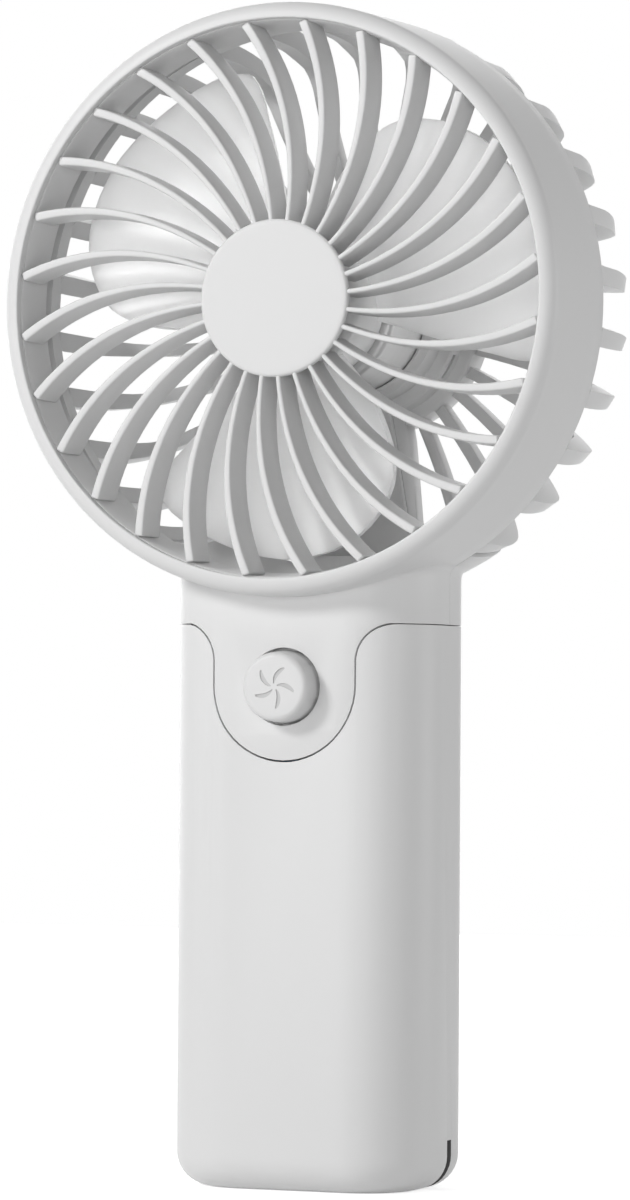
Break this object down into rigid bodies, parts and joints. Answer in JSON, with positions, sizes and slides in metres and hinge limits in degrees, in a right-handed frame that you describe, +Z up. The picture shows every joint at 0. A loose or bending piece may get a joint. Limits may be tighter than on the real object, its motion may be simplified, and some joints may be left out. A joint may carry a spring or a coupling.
{
  "type": "handheld battery fan",
  "caption": "Round-headed handheld battery fan with a curved-vane front grille, finned rear shell, bladed impeller, push button and flat-bottomed grip.",
  "frame": {"origin": "middle of the flat underside of the grip", "axes": "+Z up the grip towards the head, -Y the way the air leaves, through the front grille, +X to the right as seen from the front"},
  "size_m": [0.0886, 0.0474, 0.1753],
  "materials": {
    "shell": "fine matt moulded plastic",
    "trim": "smooth satin moulded plastic",
    "inner": "plain moulded plastic, hidden",
    "steel": "plated steel",
    "laminations": "dark stacked steel sheet",
    "brass": "plain brass",
    "copper": null,
    "magnet": null,
    "board": "coated circuit board",
    "black": "black moulded plastic",
    "wire_red": "soft wire insulation",
    "wire_black": "soft wire insulation",
    "cell": "shrink sleeve over a steel can"
  },
  "bodies": {
    "fan": {"front_shell": "shell", "rear_shell": "shell", "handle_sleeve": "shell", "front_grille": "shell", "wire_duct_cover": "shell", "rear_cap": "shell", "motor_can": "steel", "motor_end_bell": "trim", "motor_magnet_right": "magnet", "motor_magnet_left": "magnet", "front_bush": "brass", "rear_bush": "brass", "motor_brush_left": "brass", "motor_brush_right": "brass", "motor_screw_left": "steel", "motor_screw_right": "steel", "shell_screw_left": "steel", "shell_screw_right": "steel", "tact_switch": "black", "usb_port": "steel", "usb_tongue": "black", "cord_pin": "steel", "chassis": "inner", "battery_cell": "cell", "battery_tab_top": "steel", "battery_tab_bottom": "steel", "main_board": "board", "board_screw_left": "steel", "board_screw_right": "steel", "board_chip_left": "black", "board_chip_right": "black", "motor_wire_red": "wire_red", "motor_wire_black": "wire_black"},
    "impeller": {"impeller": "trim", "motor_shaft": "steel", "armature_core": "laminations", "armature_coil_1": "copper", "armature_coil_2": "copper", "armature_coil_3": "copper", "commutator": "copper"},
    "button": {"button_cap": "trim", "switch_actuator": "black"}
  },
  "joints": [
    {"name": "impeller_spin", "type": "hinge", "parent": "fan", "child": "impeller", "pos_m": [0, 0, 0.131], "axis": [0, -1, 0], "continuous": true},
    {"name": "button_press", "type": "slide", "parent": "fan", "child": "button", "axis": [0, 1, 0], "range_m": [0, 0.0005], "stiffness_N_per_m": 3000}
  ]
}
